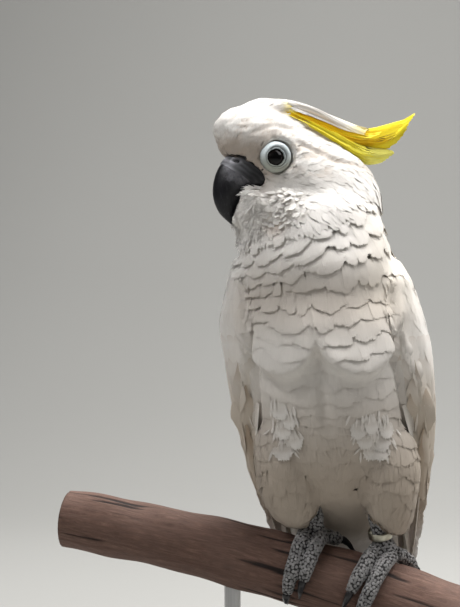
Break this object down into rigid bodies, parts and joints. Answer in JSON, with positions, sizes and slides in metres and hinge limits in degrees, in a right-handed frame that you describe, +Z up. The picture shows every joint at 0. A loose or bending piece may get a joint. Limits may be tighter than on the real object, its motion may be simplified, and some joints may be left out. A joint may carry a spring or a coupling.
{
  "type": "cockatoo display model",
  "caption": "Life-size still model of a white crested cockatoo looking over its right shoulder, gripping a short branch on a plain display stand.",
  "frame": {"origin": "on the underside of the stand's base, straight below the place on the perch between the two feet", "axes": "+Z up, -Y where the bird's breast faces, +X to the bird's left"},
  "size_m": [0.2905, 0.176, 0.4416],
  "materials": {
    "feathers_white": "soft white feathers",
    "feathers_yellow": "soft yellow feathers",
    "bill": "powdery black horn",
    "cere": "bare dark grey skin",
    "eye": "wet black",
    "eye_ring": "bare pale blue skin",
    "foot_skin": "grey scales",
    "claw": "black horn",
    "band": "worn satin",
    "branch": "bare weathered wood",
    "stand": "dark satin paint",
    "steel": "brushed"
  },
  "bodies": {
    "root": {"cere": "cere", "bill_upper": "bill", "bill_lower": "bill", "crest_white": "feathers_white", "crest_tip": "feathers_yellow", "crest_lower": "feathers_yellow", "eye_right": "eye", "eye_ring_right": "eye_ring", "eye_left": "eye", "eye_ring_left": "eye_ring", "head": "feathers_white", "neck": "feathers_white", "trunk": "feathers_white", "tail": "feathers_white", "wing_right_coverts": "feathers_white", "wing_right_flight": "feathers_white", "wing_left_coverts": "feathers_white", "wing_left_flight": "feathers_white", "shank_right": "foot_skin", "toe_right_1": "foot_skin", "claw_right_1": "claw", "toe_right_2": "foot_skin", "claw_right_2": "claw", "toe_right_3": "foot_skin", "claw_right_3": "claw", "toe_right_4": "foot_skin", "claw_right_4": "claw", "thigh_right": "feathers_white", "shank_left": "foot_skin", "toe_left_1": "foot_skin", "claw_left_1": "claw", "toe_left_2": "foot_skin", "claw_left_2": "claw", "toe_left_3": "foot_skin", "claw_left_3": "claw", "toe_left_4": "foot_skin", "claw_left_4": "claw", "thigh_left": "feathers_white", "leg_band": "band", "perch": "branch", "stand_base": "stand", "stand_rod_1": "steel", "stand_rod_2": "steel"}
  },
  "joints": []
}
